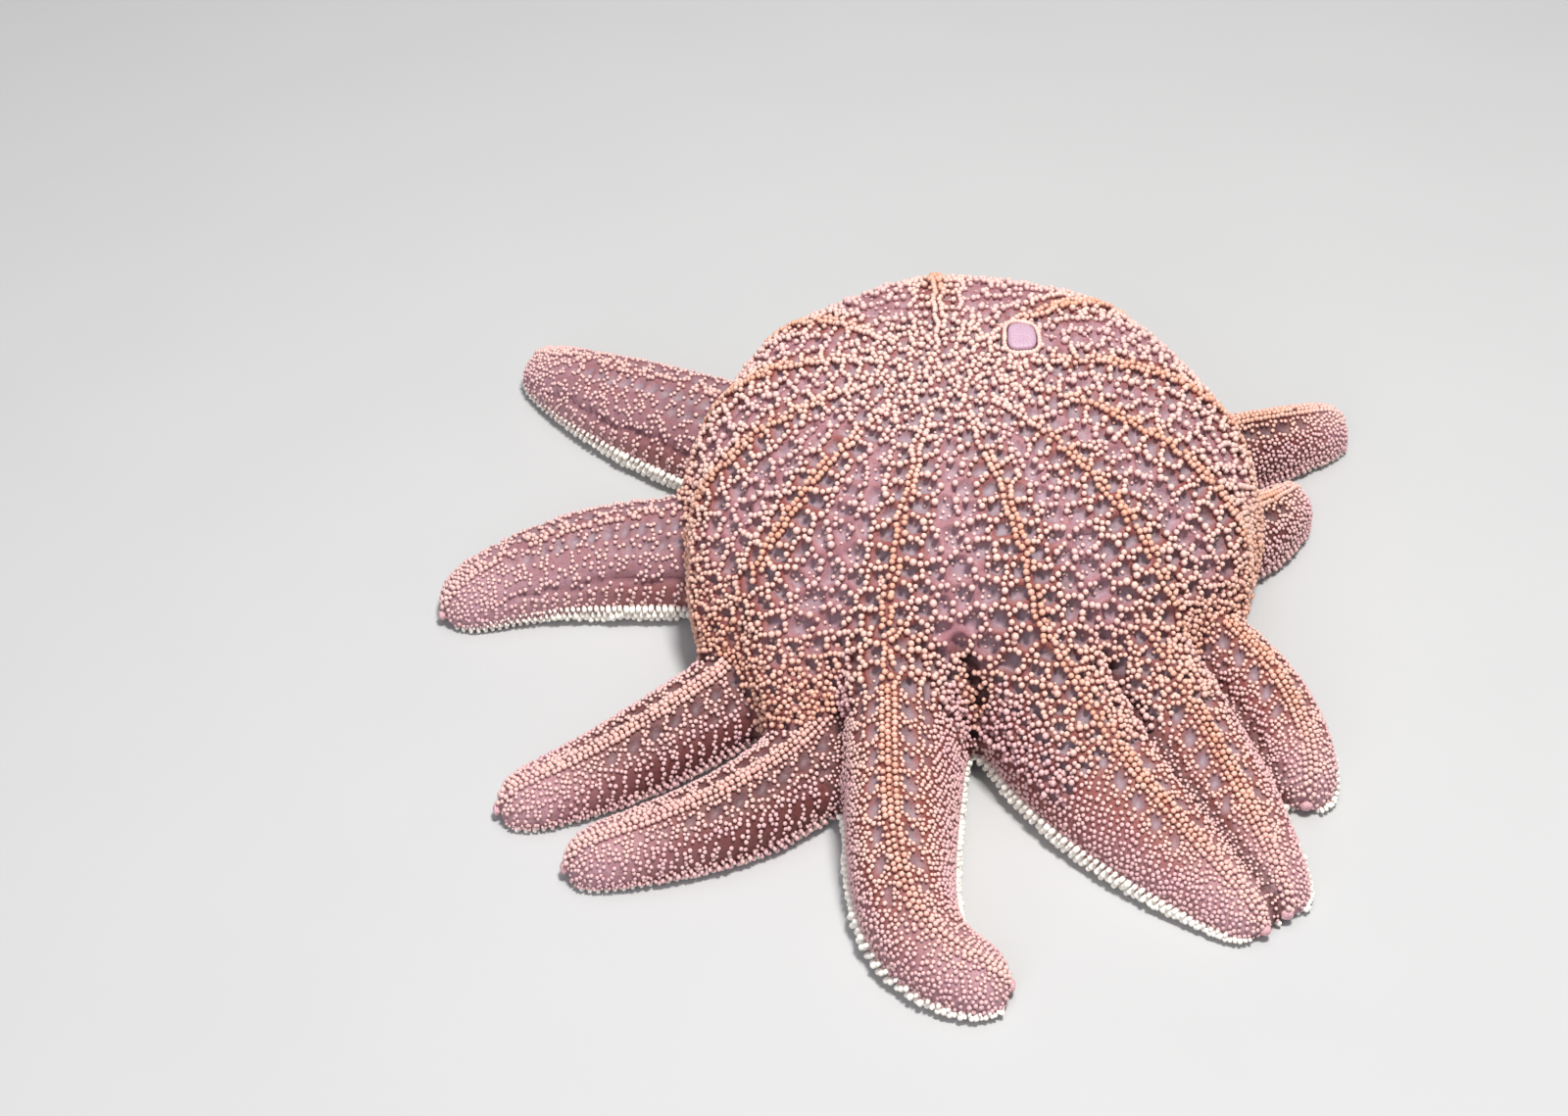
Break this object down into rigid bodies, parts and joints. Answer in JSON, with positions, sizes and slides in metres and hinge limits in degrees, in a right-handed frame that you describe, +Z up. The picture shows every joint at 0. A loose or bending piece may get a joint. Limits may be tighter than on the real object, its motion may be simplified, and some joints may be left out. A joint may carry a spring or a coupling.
{
  "type": "reef starfish",
  "caption": "Life-size still model of a many-armed reef starfish, hunched up into a dome over its mouth, with its arms spread and lying on the floor.",
  "frame": {"origin": "on the floor, under the middle of the whole animal's bounding box", "axes": "+Z up; -Y towards the side where the arms lie closest together, which is the model's front; +X to the right seen from there"},
  "size_m": [0.1872, 0.2051, 0.0533],
  "materials": {
    "skin": "moist, tough skin in dusky mauve, set with blunt cream and peach spines",
    "plate": "smooth chalky plate, pale lilac"
  },
  "bodies": {
    "root": {"disc": "skin", "arm_1": "skin", "arm_2": "skin", "arm_3": "skin", "arm_4": "skin", "arm_5": "skin", "arm_6": "skin", "arm_7": "skin", "arm_8": "skin", "arm_9": "skin", "arm_10": "skin", "arm_11": "skin", "madreporite": "plate", "terminal_plate_1": "plate", "terminal_plate_2": "plate", "terminal_plate_3": "plate", "terminal_plate_4": "plate", "terminal_plate_5": "plate", "terminal_plate_6": "plate", "terminal_plate_7": "plate", "terminal_plate_8": "plate", "terminal_plate_9": "plate", "terminal_plate_10": "plate", "terminal_plate_11": "plate"}
  },
  "joints": []
}
